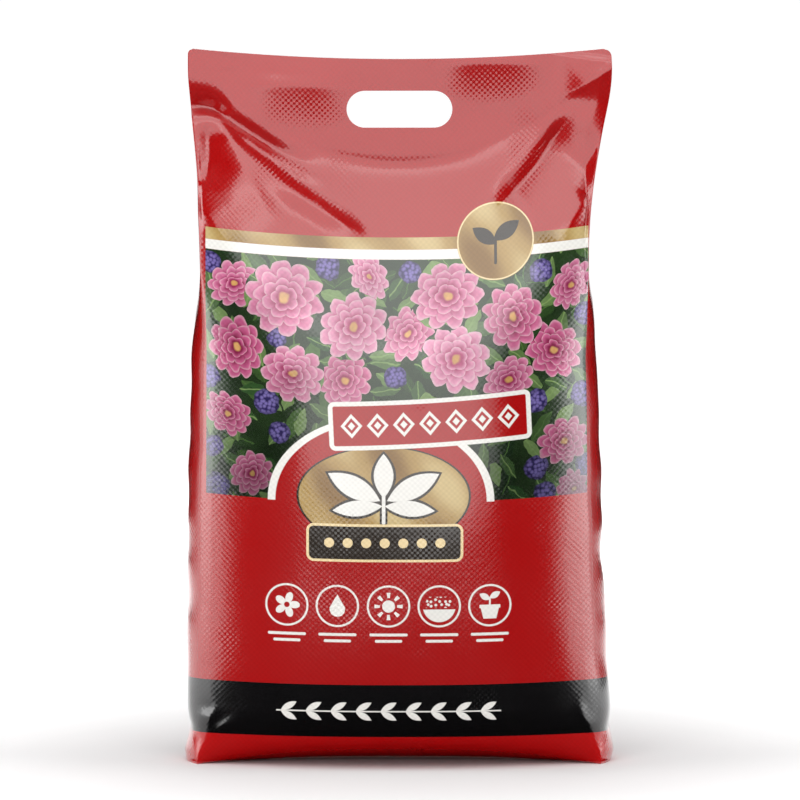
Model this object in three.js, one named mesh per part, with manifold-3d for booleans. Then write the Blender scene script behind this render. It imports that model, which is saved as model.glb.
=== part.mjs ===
// A filled compost bag: one sealed, side-gusseted sack of printed film over woven tape, standing on its base,
// with a hand hole punched through the flat neck above the contents. Millimetres, +Z up, front towards -Y.

import * as THREE from "three";
import Module from "manifold-3d";

const { clamp, lerp, smoothstep } = THREE.MathUtils;

// Driving dimensions of the outline
const BAG_HEIGHT = 662; // floor to the top corners
const BAG_WIDTH = 394; // the empty bag laid flat, fold to fold, as it still is along the sealed top edge
const TOP_SAG = 9.5; // how far the middle of the top edge hangs below its corners
const TOP_CORNER_RADIUS = 7;
const CORNER_DROP = 30; // straight run of the side edges below the top corners
const WAIST_PULL = 19; // how far the shoulders draw each fold in at the waist
const WAIST_DROP = 190; // top corners down to the waist
const BELLY_PULL = 17; // how far the contents draw each fold in at the fullest height
const BELLY_HEIGHT = 215; // floor to the fullest height
const BASE_PULL = 10.5; // how far each fold is drawn in at the floor

// Driving dimensions of the depth
const BELLY_DEPTH = 196; // front to back at the fullest
const SHOULDER_DEPTH = 176; // front to back that the shoulders alone fill out to
const NECK_DROP = 94; // top corners down to where the contents begin, at the middle
const NECK_RISE = 76; // how much higher the contents begin beside the folds than at the middle
const SHOULDER_RUN = 225; // height over which the shoulders fill out
const PANEL_SAG = 11; // how far the front and back hang lower in the middle than at their folds
const SAG_FREE_HEIGHT = 72; // the panels hang level below this height

// Driving dimensions of the base
const BASE_ROUND = 58; // height of the rounded lower edge
const FRONT_TOE = -24; // middle of the standing flat's front edge, ahead of the bag's mid plane
const BACK_TOE = 64; // middle of the standing flat's back edge, behind the bag's mid plane

// Driving dimensions of the side gussets
const SIDE_OPENING = 80; // between the front and back folds of a filled side
const SIDE_BULGE = 10; // how far a filled side stands out past its folds
const SIDE_TUCK = 44; // how far a side folds in between the panels under the top seal
const OPENING_RUN = 225; // height over which the folded side opens, below the seal
const POP_DROP = 118; // top corners down to where the tucked side starts to turn out
const POP_RUN = 190; // height over which it turns out
const EAR_REACH = 12; // how far the bottom corners stand out past the folds
const EAR_HEIGHT = 10; // floor to the tip of a bottom corner
const EAR_RUN = 55; // height over which a bottom corner fades into the side

// Driving dimensions of the film and its seal
const NECK_THICKNESS = 2.4; // front and back pressed together
const SEAL_THICKNESS = 4.4; // the same with the tucked side between them
const SEAL_HEIGHT = 14;
const LEAF_THICKNESS = 1.2; // a panel and the half of the side that lies against it

// Driving dimensions of the hand hole
const HOLE_LENGTH = 98;
const HOLE_HEIGHT = 34;
const HOLE_DROP = 56; // top corners down to the hole's centre line
const HOLE_CUT_DEPTH = 60;
const HOLE_ARC_STEPS = 10;

// Shape of the sections: powers of the curves that fill them out
const PANEL_CROWN = 2.4;
const SHOULDER_POWER = 1.35;

// Mesh density
const PANEL_STEPS = 38;
const HALF_SIDE_STEPS = 5;
const BASE_STEPS = 9;
const BODY_STEPS = 11;
const SHOULDER_STEPS = 18;
const NECK_STEPS = 16;
const SLIT_ROOF = 0.6; // height over which the tucked side starts, just under the seal

const COLOURS = { film: 0xa51317 };

// Heights that follow from the dimensions
const sealFoot = BAG_HEIGHT - SEAL_HEIGHT;
const neckFoot = BAG_HEIGHT - NECK_DROP;
const waistHeight = BAG_HEIGHT - WAIST_DROP;
const popTop = BAG_HEIGHT - POP_DROP;
const neckHalf = NECK_THICKNESS / 2;

// Folds pressed into a panel. Each is a straight ridge (positive relief) or valley (negative) that fades at both ends.
const FRONT = {
  outward: -1,
  toe: FRONT_TOE,
  folds: [
    { from: belowCorner(-1, 22, 64), to: belowCorner(-1, 170, 172), relief: 7, width: 12 },
    { from: belowCorner(-1, 18, 50), to: belowCorner(-1, 96, 104), relief: -6, width: 10 },
    { from: belowCorner(-1, 30, 92), to: belowCorner(-1, 60, 152), relief: -5, width: 13 },
    { from: belowCorner(1, 26, 66), to: belowCorner(1, 100, 150), relief: 7, width: 12 },
    { from: belowCorner(1, 42, 72), to: belowCorner(1, 114, 140), relief: -7, width: 10 },
    { from: aboveCorner(-1, 8, 26), to: aboveCorner(-1, 42, 66), relief: 3, width: 9 },
    { from: aboveCorner(1, 8, 22), to: aboveCorner(1, 34, 74), relief: 3, width: 10 },
  ],
};
const BACK = {
  outward: 1,
  toe: BACK_TOE,
  folds: [
    { from: belowCorner(1, 26, 62), to: belowCorner(1, 150, 168), relief: 6, width: 12 },
    { from: belowCorner(1, 22, 48), to: belowCorner(1, 110, 112), relief: -6, width: 10 },
    { from: belowCorner(-1, 24, 64), to: belowCorner(-1, 118, 160), relief: 6, width: 12 },
    { from: belowCorner(-1, 40, 72), to: belowCorner(-1, 122, 142), relief: -6, width: 10 },
  ],
};

// A point on a panel given from a top corner: inwards from it and down from it.
function belowCorner(hand, inset, drop) {
  return new THREE.Vector2(hand * (BAG_WIDTH / 2 - inset), BAG_HEIGHT - drop);
}

// A point on a panel given from a bottom corner: inwards from it and up from the floor.
function aboveCorner(hand, inset, height) {
  return new THREE.Vector2(hand * (BAG_WIDTH / 2 - BASE_PULL - inset), height);
}

// A smooth curve through a few [height, value] points, level beyond its ends.
function smoothThrough(points) {
  const heights = points.map(([height]) => height);
  const values = points.map(([, value]) => value);
  const curve = new THREE.CubicInterpolant(heights, values, 1);
  return (height) => curve.evaluate(clamp(height, heights[0], heights.at(-1)))[0];
}

// Half the distance between a panel's two side folds.
const halfWidth = smoothThrough([
  [0, BAG_WIDTH / 2 - BASE_PULL],
  [BELLY_HEIGHT, BAG_WIDTH / 2 - BELLY_PULL],
  [waistHeight, BAG_WIDTH / 2 - WAIST_PULL],
  [BAG_HEIGHT - CORNER_DROP, BAG_WIDTH / 2],
  [BAG_HEIGHT, BAG_WIDTH / 2],
]);

// How far the middle of a panel hangs below its folds.
const panelSag = smoothThrough([
  [0, 0],
  [SAG_FREE_HEIGHT, 0],
  [waistHeight, PANEL_SAG],
  [BAG_HEIGHT, TOP_SAG],
]);

// A panel's side folds: their distance from the bag's mid plane.
function foldDepth(height) {
  return lerp(SEAL_THICKNESS / 2, SIDE_OPENING / 2, smoothstep(sealFoot - height, 0, OPENING_RUN));
}

// A panel's crown: its distance from the bag's mid plane, above the rounded base.
function bodyDepth(across, height) {
  const fill = clamp((neckFoot + NECK_RISE * across * across - height) / SHOULDER_RUN, 0, 1);
  const shoulder = Math.sin((fill * Math.PI) / 2);
  const belly = smoothstep(neckFoot - height, 0, neckFoot - BELLY_HEIGHT);
  return (
    lerp(neckHalf, SHOULDER_DEPTH / 2, shoulder ** SHOULDER_POWER) +
    (belly * (BELLY_DEPTH - SHOULDER_DEPTH)) / 2
  );
}

// The same, with the lower edge rounded under to the standing flat.
function crownDepth(across, height, toe) {
  if (height >= BASE_ROUND) return bodyDepth(across, height);
  const under = 1 - height / BASE_ROUND;
  return lerp(toe, bodyDepth(across, BASE_ROUND), Math.sqrt(1 - under * under));
}

// How far a side's centre crease stands out past its folds; negative where the side is tucked in.
function creaseReach(height) {
  if (height >= sealFoot) return 0;
  const opening = Math.min(foldDepth(height), SIDE_TUCK);
  const tucked = -Math.sqrt(SIDE_TUCK * SIDE_TUCK - opening * opening);
  const ear = EAR_REACH * Math.max(0, 1 - Math.abs(height - EAR_HEIGHT) / EAR_RUN);
  const filled = Math.max(SIDE_BULGE * smoothstep(height, 0, EAR_RUN), ear);
  return lerp(tucked, filled, turnedOut(height));
}

// 0 where a side is tucked in, 1 where the contents have turned it out.
function turnedOut(height) {
  return Math.sin((clamp((popTop - height) / POP_RUN, 0, 1) * Math.PI) / 2);
}

// The least distance from the mid plane that keeps a panel clear of the tucked side behind it.
function leastDepth(x, height) {
  const reach = creaseReach(height);
  if (reach >= 0) return neckHalf;
  const along = clamp(1 - (halfWidth(height) - Math.abs(x)) / -reach, 0, 1);
  return Math.max(neckHalf, LEAF_THICKNESS + (foldDepth(height) - LEAF_THICKNESS) * along);
}

// Height of all the folds' relief at a point of a panel.
function foldRelief(folds, x, z) {
  const place = new THREE.Vector2(x, z);
  let relief = 0;
  for (const fold of folds) {
    const run = new THREE.Vector2().subVectors(fold.to, fold.from);
    const along = new THREE.Vector2().subVectors(place, fold.from).dot(run) / run.lengthSq();
    const nearest = fold.from.clone().addScaledVector(run, clamp(along, 0, 1));
    const away = nearest.distanceTo(place) / fold.width;
    const fade = Math.sin(clamp(along, 0, 1) * Math.PI);
    relief += fold.relief * fade * Math.exp(-away * away);
  }
  return relief;
}

// How far the top edge drops as it turns round a corner.
function cornerDrop(x) {
  const into = clamp(Math.abs(x) - (BAG_WIDTH / 2 - TOP_CORNER_RADIUS), 0, TOP_CORNER_RADIUS);
  return TOP_CORNER_RADIUS - Math.sqrt(TOP_CORNER_RADIUS * TOP_CORNER_RADIUS - into * into);
}

// A point of the front or back panel; across runs from -1 at the left fold to 1 at the right one.
function panelPoint(panel, across, height) {
  const x = across * halfWidth(height);
  const crown = 1 - Math.abs(across) ** PANEL_CROWN;
  const z = height - panelSag(height) * (1 - across * across);
  const smooth = lerp(foldDepth(height), crownDepth(across, height, panel.toe), crown);
  const raised = height < sealFoot && height > 0 ? smooth + foldRelief(panel.folds, x, z) : smooth;
  const depth = height < BASE_ROUND ? raised : Math.max(raised, leastDepth(x, height));
  const drop = height === BAG_HEIGHT ? cornerDrop(x) : 0;
  return new THREE.Vector3(x, panel.outward * depth, z - drop);
}

// A point of a gusset; along runs from -1 at the front leaf to 1 at the back one, with the crease at 0.
function sidePoint(hand, along, height) {
  const roundness = 1 + turnedOut(height);
  const x = halfWidth(height) + creaseReach(height) * (1 - Math.abs(along) ** roundness);
  const drop = height === BAG_HEIGHT ? TOP_CORNER_RADIUS : 0;
  return new THREE.Vector3(hand * x, along * (foldDepth(height) - LEAF_THICKNESS), height - drop);
}

// Evenly spaced values from one to the other, both included.
function steps(from, to, count) {
  return Array.from({ length: count + 1 }, (_, i) => lerp(from, to, i / count));
}

// Stations across a panel, closer together towards its folds.
const acrossStations = steps(-1, 1, PANEL_STEPS).map((t) => lerp(t, Math.sin((t * Math.PI) / 2), 0.7));
const sideStations = steps(-1, 1, 2 * HALF_SIDE_STEPS);

// One level section of the bag, counter-clockwise from above, starting at the front left fold.
function sectionAt(height) {
  return [
    ...acrossStations.map((across) => panelPoint(FRONT, across, height)),
    ...sideStations.map((along) => sidePoint(1, along, height)),
    ...acrossStations.toReversed().map((across) => panelPoint(BACK, across, height)),
    ...sideStations.toReversed().map((along) => sidePoint(-1, along, height)),
  ];
}

// Section heights, close together round the base and from the shoulders up.
const sectionHeights = [
  ...steps(0, 1, BASE_STEPS).map((t) => BASE_ROUND * t * t),
  ...steps(BASE_ROUND, popTop - POP_RUN, BODY_STEPS).slice(1),
  ...steps(popTop - POP_RUN, popTop, SHOULDER_STEPS).slice(1),
  ...steps(popTop, sealFoot - SLIT_ROOF, NECK_STEPS).slice(1),
  sealFoot,
  BAG_HEIGHT,
];

// Skins a stack of level sections, each square split along the run of the folds, and closes both ends.
function skinSections(sections) {
  const count = sections[0].length;
  const triangles = [];
  for (let level = 0; level + 1 < sections.length; level++) {
    for (let i = 0; i < count; i++) {
      const here = level * count + i;
      const next = level * count + ((i + 1) % count);
      const corner = sections[level][i];
      if (corner.x * corner.y > 0) triangles.push(here, next, here + count, next, next + count, here + count);
      else triangles.push(here, next, next + count, here, next + count, here + count);
    }
  }
  const capOf = (section) =>
    THREE.ShapeUtils.triangulateShape(section.map((p) => new THREE.Vector2(p.x, p.y)), []);
  const topStart = (sections.length - 1) * count;
  for (const [a, b, c] of capOf(sections[0])) triangles.push(a, c, b);
  for (const [a, b, c] of capOf(sections.at(-1))) triangles.push(topStart + a, topStart + b, topStart + c);
  return new THREE.BufferGeometry().setFromPoints(sections.flat()).setIndex(triangles);
}

// The punch that cuts the hand hole: a slot with round ends, through the neck from front to back.
function handHolePunch() {
  const radius = HOLE_HEIGHT / 2;
  const halfStraight = HOLE_LENGTH / 2 - radius;
  const outline = new THREE.Shape();
  outline.absarc(halfStraight, 0, radius, -Math.PI / 2, Math.PI / 2, false);
  outline.absarc(-halfStraight, 0, radius, Math.PI / 2, (3 * Math.PI) / 2, false);
  const punch = new THREE.ExtrudeGeometry(outline, {
    depth: HOLE_CUT_DEPTH,
    bevelEnabled: false,
    curveSegments: HOLE_ARC_STEPS,
  });
  punch.rotateX(Math.PI / 2);
  punch.translate(0, HOLE_CUT_DEPTH / 2, BAG_HEIGHT - HOLE_DROP);
  return punch;
}

const wasm = await Module();
wasm.setup();

// A closed geometry as a solid that can be cut.
function solidOf(geometry) {
  const places = geometry.getAttribute("position");
  const index = geometry.index ? geometry.index.array : places.array.map((_, i) => i).slice(0, places.count);
  const mesh = new wasm.Mesh({
    numProp: 3,
    vertProperties: new Float32Array(places.array),
    triVerts: new Uint32Array(index),
  });
  mesh.merge();
  return new wasm.Manifold(mesh);
}

// A solid back as a geometry.
function geometryOf(solid) {
  const mesh = solid.getMesh();
  const geometry = new THREE.BufferGeometry();
  geometry.setAttribute("position", new THREE.BufferAttribute(mesh.vertProperties, mesh.numProp));
  geometry.setIndex(new THREE.BufferAttribute(mesh.triVerts, 1));
  geometry.computeVertexNormals();
  return geometry;
}

function compostBag() {
  const filled = solidOf(skinSections(sectionHeights.map(sectionAt)));
  const punched = filled.subtract(solidOf(handHolePunch()));
  const film = new THREE.MeshStandardMaterial({ color: COLOURS.film, roughness: 0.35, metalness: 0 });
  const bag = new THREE.Mesh(geometryOf(punched), film);
  bag.name = "compost_bag";
  return bag;
}

const part = new THREE.Group();
part.add(compostBag());

export default part;
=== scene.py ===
"""The compost bag's looks: a filled sack of printed film over woven tape, standing on a pale floor."""

import math

import bpy
import numpy as np
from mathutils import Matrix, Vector


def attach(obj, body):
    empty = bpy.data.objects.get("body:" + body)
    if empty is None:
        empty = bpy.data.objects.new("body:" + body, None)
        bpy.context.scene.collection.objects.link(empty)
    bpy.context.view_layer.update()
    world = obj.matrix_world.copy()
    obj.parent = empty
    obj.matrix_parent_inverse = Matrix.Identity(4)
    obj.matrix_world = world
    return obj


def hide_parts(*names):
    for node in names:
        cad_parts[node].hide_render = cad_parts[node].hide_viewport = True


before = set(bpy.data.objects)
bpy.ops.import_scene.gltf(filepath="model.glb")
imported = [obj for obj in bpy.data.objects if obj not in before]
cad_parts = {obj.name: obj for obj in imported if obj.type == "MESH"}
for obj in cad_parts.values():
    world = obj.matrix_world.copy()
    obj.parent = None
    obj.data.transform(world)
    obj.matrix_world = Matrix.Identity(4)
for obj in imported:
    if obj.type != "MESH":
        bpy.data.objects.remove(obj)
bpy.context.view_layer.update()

MM = 0.001

# Sizes of the bag, in millimetres.
BAG_HEIGHT = 662.0
BAG_WIDTH = 394.0
TOP_SAG = 9.5
LEFT_CORNER_RADIUS = 5.0
RIGHT_CORNER_RADIUS = 7.5
CORNER_DROP = 30.0
WAIST_PULL = 19.0
WAIST_HEIGHT = BAG_HEIGHT - 190.0
BELLY_PULL = 17.0
BELLY_HEIGHT = 215.0
BASE_PULL = 10.5
BELLY_DEPTH = 196.0
SHOULDER_DEPTH = 176.0
NECK_FOOT = BAG_HEIGHT - 94.0
NECK_RISE = 76.0
SHOULDER_RUN = 225.0
SHOULDER_POWER = 1.35
PANEL_SAG = 11.0
SAG_FREE_HEIGHT = 72.0
BASE_ROUND = 58.0
LOWER_TURN = 5.0
LOWER_TURN_FROM = 155.0
FRONT_TOE = -24.0
BACK_TOE = 64.0
SIDE_OPENING = 80.0
SIDE_BULGE = 10.0
SIDE_TUCK = 44.0
OPENING_RUN = 225.0
POP_TOP = BAG_HEIGHT - 118.0
POP_RUN = 190.0
EAR_REACH = 12.0
EAR_HEIGHT = 10.0
EAR_RUN = 55.0
NECK_HALF = 0.7
SEAL_HALF = 1.3
SEAL_FOOT = BAG_HEIGHT - 14.0
SEAL_FADE = 10.0
LEAF = 0.6
PANEL_CROWN = 2.4
HOLE_LENGTH = 98.0
HOLE_HEIGHT = 34.0
HOLE_CENTRE = BAG_HEIGHT - 56.0
HOLE_CUT = 30.0
HOLE_ARC_STEPS = 32

# Mesh density: steps across, and (from, to, step) bands of height.
FRONT_STEPS = 226
BACK_STEPS = 88
SIDE_STEPS = 22
LEVEL_BANDS = [(0.0, 60.0, 2.2), (60.0, 430.0, 5.0), (430.0, BAG_HEIGHT, 1.45)]


def clamp01(t):
    return np.clip(t, 0.0, 1.0)


def lerp(a, b, t):
    return a + (b - a) * t


def smoothstep(x, low, high):
    t = clamp01((x - low) / (high - low))
    return t * t * (3.0 - 2.0 * t)


def smooth_through(points):
    """A smooth curve through a few (height, value) points, level beyond its ends."""
    t = np.array([p[0] for p in points], float)
    v = np.array([p[1] for p in points], float)
    last = len(t) - 1

    def curve(height):
        h = np.clip(height, t[0], t[-1])
        i1 = np.clip(np.searchsorted(t, h, side="right"), 1, last)
        i0 = i1 - 1
        t0, t1 = t[i0], t[i1]
        before, after = np.maximum(i0 - 1, 0), np.minimum(i1 + 1, last)
        t_prev, v_prev = np.where(i0 == 0, t1, t[before]), np.where(i0 == 0, v[i1], v[before])
        t_next, v_next = np.where(i1 == last, t0, t[after]), np.where(i1 == last, v[i0], v[after])
        wp = 0.5 * (t1 - t0) / (t0 - t_prev)
        wn = 0.5 * (t1 - t0) / (t_next - t1)
        p = (h - t0) / (t1 - t0)
        p2, p3 = p * p, p * p * p
        return (
            (-wp * p3 + 2 * wp * p2 - wp * p) * v_prev
            + ((1 + wp) * p3 + (-1.5 - 2 * wp) * p2 + (wp - 0.5) * p + 1) * v[i0]
            + ((-1 - wn) * p3 + (1.5 + wn) * p2 + 0.5 * p) * v[i1]
            + (wn * p3 - wn * p2) * v_next
        )

    return curve


half_width = smooth_through(
    [
        (0, BAG_WIDTH / 2 - BASE_PULL),
        (BELLY_HEIGHT, BAG_WIDTH / 2 - BELLY_PULL),
        (WAIST_HEIGHT, BAG_WIDTH / 2 - WAIST_PULL),
        (BAG_HEIGHT - CORNER_DROP, BAG_WIDTH / 2),
        (BAG_HEIGHT, BAG_WIDTH / 2),
    ]
)
panel_sag = smooth_through([(0, 0), (SAG_FREE_HEIGHT, 0), (WAIST_HEIGHT, PANEL_SAG), (BAG_HEIGHT, TOP_SAG)])


def fold_depth(h):
    """Distance of a panel's side folds from the bag's mid plane."""
    return lerp(SEAL_HALF, SIDE_OPENING / 2, smoothstep(SEAL_FOOT - h, 0, OPENING_RUN))


def body_depth(u, h):
    """Distance of a panel's crown from the mid plane, above the rounded base."""
    fill = clamp01((NECK_FOOT + NECK_RISE * u * u - h) / SHOULDER_RUN)
    shoulder = np.sin(fill * math.pi / 2) ** SHOULDER_POWER
    belly = smoothstep(NECK_FOOT - h, 0, NECK_FOOT - BELLY_HEIGHT)
    return lerp(NECK_HALF, SHOULDER_DEPTH / 2, shoulder) + belly * (BELLY_DEPTH - SHOULDER_DEPTH) / 2


def crown_depth(u, h, toe):
    under = clamp01(1 - h / BASE_ROUND)
    rounded = lerp(toe, body_depth(u, np.full_like(h, BASE_ROUND)), np.sqrt(1 - under * under))
    turn = LOWER_TURN * clamp01((LOWER_TURN_FROM - h) / (LOWER_TURN_FROM - BASE_ROUND)) ** 2
    return np.where(h >= BASE_ROUND, body_depth(u, h), rounded) - turn * smoothstep(h, 0, BASE_ROUND)


def turned_out(h):
    """0 where a side is tucked in, 1 where the contents have turned it out."""
    return np.sin(clamp01((POP_TOP - h) / POP_RUN) * math.pi / 2)


def crease_reach(h):
    """How far a side's centre stands out past its folds; negative where it is tucked in."""
    opening = np.minimum(fold_depth(h), SIDE_TUCK)
    tucked = -np.sqrt(SIDE_TUCK**2 - opening**2)
    ear = EAR_REACH * np.maximum(0, 1 - np.abs(h - EAR_HEIGHT) / EAR_RUN)
    filled = np.maximum(SIDE_BULGE * smoothstep(h, 0, EAR_RUN), ear)
    return np.where(h >= SEAL_FOOT, 0.0, lerp(tucked, filled, turned_out(h)))


def least_depth(x, h):
    """The least distance from the mid plane that keeps a panel clear of the tucked side behind it."""
    reach = crease_reach(h)
    along = clamp01(1 - (half_width(h) - np.abs(x)) / np.maximum(-reach, 1e-6))
    behind = LEAF + (fold_depth(h) - LEAF) * along * smoothstep(SEAL_FOOT - h, 0, SEAL_FADE)
    return np.where(reach >= 0, NECK_HALF, np.maximum(NECK_HALF, behind))


# A fold's profile: radius of its crest, how softly its foot runs out, and how far off it is still felt.
CREST_ROUND = 1.6
FOOT_SOFTNESS = 0.4
FOLD_REACH = 2.5
PATH_ROUNDS = 5
SHORTEST_FADE = 1e-6


def rounded_path(points, rounds):
    """The path with its corners cut off again and again, so that it bends smoothly."""
    path = np.array(points, float)
    for _ in range(rounds):
        near, far = lerp(path[:-1], path[1:], 0.25), lerp(path[:-1], path[1:], 0.75)
        path = np.concatenate([path[:1], np.stack([near, far], 1).reshape(-1, 2)[1:-1], path[-1:]])
    return path


class Fold:
    """A crease along a path of (right, up) points: its relief and its widths on the left and right hand
    of the path, each as one number or as (start, end), and the shares of its length over which it
    fades in and out."""

    def __init__(self, path, relief, left, right, head, tail, rounds=PATH_ROUNDS):
        self.path = rounded_path(path, rounds)
        self.relief, self.left, self.right = relief, left, right
        self.head, self.tail = head, tail

    def mirrored(self, shift, share):
        path = self.path * (-1, 1) + (0, shift)
        relief = np.multiply(self.relief, share)
        return Fold(path, relief, self.right, self.left, self.head, self.tail, rounds=0)

    def at(self, x, z):
        relief = np.zeros(x.shape)
        margin = FOLD_REACH * np.max(np.concatenate([np.atleast_1d(self.left), np.atleast_1d(self.right)]))
        low, high = self.path.min(axis=0) - margin, self.path.max(axis=0) + margin
        felt = (x > low[0]) & (x < high[0]) & (z > low[1]) & (z < high[1])
        relief[felt] = self.relief_near(x[felt], z[felt])
        return relief

    def relief_near(self, x, z):
        best = np.full(x.shape, np.inf)
        side = np.zeros(x.shape)
        along = np.zeros(x.shape)
        lengths = np.hypot(*(self.path[1:] - self.path[:-1]).T)
        total, run = lengths.sum(), 0.0
        for a, b, length in zip(self.path[:-1], self.path[1:], lengths):
            d = (b - a) / length
            rx, rz = x - a[0], z - a[1]
            t = np.clip(rx * d[0] + rz * d[1], 0, length)
            off = np.hypot(rx - t * d[0], rz - t * d[1])
            nearer = off < best
            best = np.where(nearer, off, best)
            side = np.where(nearer, d[0] * rz - d[1] * rx, side)
            along = np.where(nearer, (run + t) / total, along)
            run += length
        spans = (self.relief, self.left, self.right)
        relief, left, right = (lerp(*np.broadcast_to(span, 2), along) for span in spans)
        # near the path the two hands' widths run into each other, so that the crest is one smooth line
        hand = 0.5 + 0.5 * side / np.sqrt(side**2 + CREST_ROUND**2)
        off = np.sqrt(best**2 + CREST_ROUND**2) - CREST_ROUND
        rise = 1 - off / lerp(right, left, hand)
        foot = 0.5 * (1 - FOLD_REACH + np.sqrt((1 - FOLD_REACH) ** 2 + FOOT_SOFTNESS**2))
        profile = np.maximum(0.5 * (rise + np.sqrt(rise**2 + FOOT_SOFTNESS**2)) - foot, 0)
        fade_in = smoothstep(along, 0, max(self.head, SHORTEST_FADE))
        fade_out = smoothstep(1 - along, 0, max(self.tail, SHORTEST_FADE))
        return relief * (fade_in * fade_out) * profile


def fold_relief(folds, x, z):
    return sum((fold.at(x, z) for fold in folds), np.zeros(x.shape))


# Folds that the shoulders press into the front, and small ones at its foot and sides.
SHOULDER_FOLDS = [
    # left: the edge dips in, two pleats run in from it, a ridge runs on, and a flat facet hangs below it
    Fold([(-212, 606), (-190, 608), (-172, 606), (-158, 597)], -10.0, (25, 15), (10, 7), 0.0, 0.6),
    Fold([(-204, 611), (-186, 610), (-172, 606), (-160, 598), (-148, 590),
          (-130, 578), (-114, 568), (-92, 557), (-66, 548)],
         -8.0, (12, 9), (4.5, 5), 0.25, 0.4),
    Fold([(-172, 600), (-164, 593), (-148, 580), (-133, 568),
          (-116, 556), (-99, 542), (-76, 527), (-46, 508)],
         (-4, -6), (5, 11), (4, 6), 0.25, 0.55),
    Fold([(-150, 575), (-137, 564), (-121, 551), (-104, 537), (-86, 525), (-54, 504), (-22, 484)],
         (1, 13), (5, 9), (8, 21), 0.5, 0.42),
    Fold([(-172, 606), (-108, 490)], (3, 11), (25, 70), (14, 52), 0.25, 0.55),
    Fold([(-180, 600), (-176, 566), (-177, 530)], -5.0, 34, 9, 0.3, 0.4),
    Fold([(-194, 533), (-184, 520), (-167, 502), (-152, 487)], 3.0, 16, 9, 0.2, 0.5),
    # right: one deep pleat, with a broad ridge beside it
    Fold([(168, 606), (148, 581), (140, 568), (130, 553), (116, 536), (105, 526), (82, 504)],
         (-9, -12), (170, 70), (8, 17), 0.35, 0.3),
    Fold([(180, 528), (172, 516), (160, 500), (146, 483)], 3.0, 9, 16, 0.2, 0.5),
    # the neck swells a little before it dips to the contents
    Fold([(-124, 585), (-60, 569), (0, 563), (60, 569), (124, 587)], 1.0, 24, 11, 0.3, 0.3),
]
FOOT_FOLDS = [
    Fold([(-196, 6), (-187, 20), (-176, 34)], 2.4, 6, 6, 0.1, 0.5),
    Fold([(-193, 31), (-177, 42), (-160, 56)], 2.8, 5, 5, 0.2, 0.6),
    Fold([(-190, 33), (-187, 46), (-185, 62)], 2.0, 4, 5, 0.2, 0.6),
    Fold([(-186, 40), (-178, 52), (-170, 60)], -2.0, 5, 5, 0.3, 0.5),
    Fold([(-172, 30), (-156, 39), (-140, 51)], 1.8, 5, 6, 0.3, 0.6),
    Fold([(196, 8), (184, 21), (172, 38)], 2.4, 6, 6, 0.1, 0.5),
    Fold([(186, 30), (172, 36), (164, 52), (161, 68)], 1.6, 6, 6, 0.2, 0.6),
    Fold([(187, 28), (181, 46), (179, 70)], -2.0, 5, 5, 0.3, 0.5),
    Fold([(-193, 338), (-176, 331)], -2.2, 9, 7, 0.0, 0.9),
    Fold([(-193, 162), (-172, 156)], -2.4, 8, 9, 0.0, 0.9),
    Fold([(-190, 92), (-166, 88)], -1.8, 7, 7, 0.0, 0.9),
    Fold([(194, 146), (174, 142)], -2.4, 9, 8, 0.0, 0.9),
    Fold([(194, 84), (172, 80)], -1.8, 7, 8, 0.0, 0.9),
    Fold([(192, 408), (176, 400)], -1.8, 8, 8, 0.0, 0.9),
    Fold([(-194, 296), (-176, 303)], -2.0, 7, 10, 0.0, 0.9),
    Fold([(-195, 236), (-170, 226)], -2.8, 9, 7, 0.0, 0.9),
    Fold([(-194, 196), (-176, 201)], -1.8, 6, 8, 0.0, 0.9),
    Fold([(-193, 122), (-170, 114)], -2.6, 7, 9, 0.0, 0.9),
    Fold([(194, 338), (176, 331)], -2.0, 8, 9, 0.0, 0.9),
    Fold([(194, 262), (172, 268)], -2.4, 9, 7, 0.0, 0.9),
    Fold([(195, 204), (170, 196)], -2.8, 8, 10, 0.0, 0.9),
    Fold([(194, 112), (176, 117)], -2.0, 6, 8, 0.0, 0.9),
]
BACK_SHOULDER_FOLDS = [fold.mirrored(-6, 0.85) for fold in SHOULDER_FOLDS]
BACK_FOOT_FOLDS = [fold.mirrored(9, 0.9) for fold in FOOT_FOLDS]

# Folds of the flat neck, where front and back bend as one.
NECK_FOLDS = [
    Fold([(-196, 659), (-150, 650), (-119, 643), (-92, 639)], -0.4, 5, 4, 0.05, 0.6),
    Fold([(-180, 635), (-167, 640), (-146, 641), (-97, 638), (-66, 637)], -0.4, 4, 5, 0.2, 0.6),
    Fold([(212, 652), (196, 644), (180, 634),
          (159, 622), (136, 617)],
         (13, 2), (34, 7), (52, 18), 0.0, 0.5),
    Fold([(197, 657), (189, 648), (185, 638)], -0.6, 4, 4, 0.0, 0.5),
    Fold([(188, 656), (184, 620), (178, 592), (171, 562)], 4.0, 14, 90, 0.05, 0.5),
    Fold([(-156, 624), (-112, 629), (-72, 628), (-30, 621)], 4.4, 30, 28, 0.35, 0.45),
    Fold([(30, 646), (68, 649), (110, 649), (146, 645)], 3.2, 14, 25, 0.35, 0.4),
]


def gentle_waves(seed, height, shortest, longest, count=9):
    """Slow undulation of a surface, as a sum of a few waves at random headings."""
    rng = np.random.default_rng(seed)
    lengths = rng.uniform(shortest, longest, count)
    headings = rng.uniform(0, math.pi, count)
    phases = rng.uniform(0, 2 * math.pi, count)

    def at(x, z):
        total = np.zeros(np.shape(x))
        for length, heading, phase in zip(lengths, headings, phases):
            total += np.sin(2 * math.pi * (x * math.cos(heading) + z * math.sin(heading)) / length + phase)
        return height * total / math.sqrt(count)

    return at


front_waves = gentle_waves(28, 0.5, 80, 180)
back_waves = gentle_waves(31, 0.9, 70, 170)
side_waves = gentle_waves(47, 0.9, 40, 110)


# Heights between which front and back come together, and the neck's two slow bends.
APART_BELOW, AS_ONE_ABOVE = 556.0, 606.0
NECK_BEND = 1.3
NECK_RIPPLE = 0.8


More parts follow.
